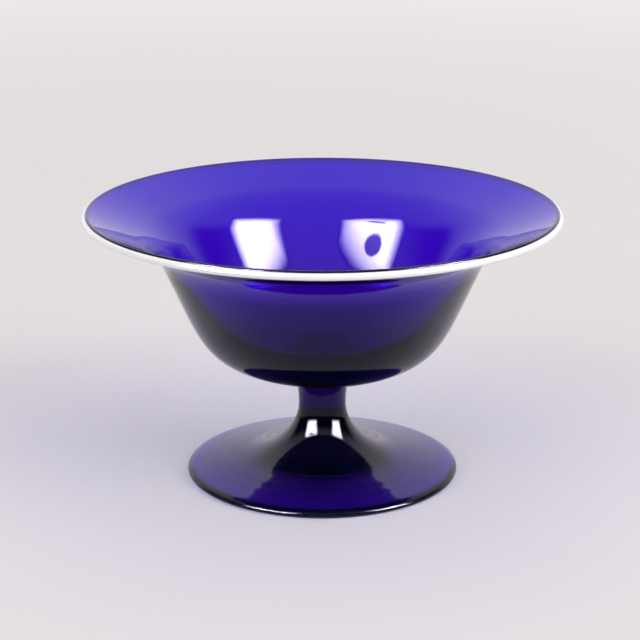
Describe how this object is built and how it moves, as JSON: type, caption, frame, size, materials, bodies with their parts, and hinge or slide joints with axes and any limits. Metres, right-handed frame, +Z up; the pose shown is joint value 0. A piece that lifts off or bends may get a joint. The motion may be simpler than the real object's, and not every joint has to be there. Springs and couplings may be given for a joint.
{
  "type": "compote",
  "caption": "Footed bowl of clear cobalt-blue glass with a flared lip edged by a white glass thread, a short waisted stem and a conical foot.",
  "frame": {"origin": "centre of the standing plane, on the axis of the glass", "axes": "+Z up along the axis of the glass; X and Y are alike, and the picture looks along +Y"},
  "size_m": [0.2244, 0.2244, 0.13],
  "materials": {
    "cobalt_glass": "clear cobalt-blue blown glass, fire-polished",
    "white_glass": "opaque white glass thread, fire-polished"
  },
  "bodies": {
    "root": {"foot": "cobalt_glass", "stem": "cobalt_glass", "bowl": "cobalt_glass", "lip_thread": "white_glass"}
  },
  "joints": []
}
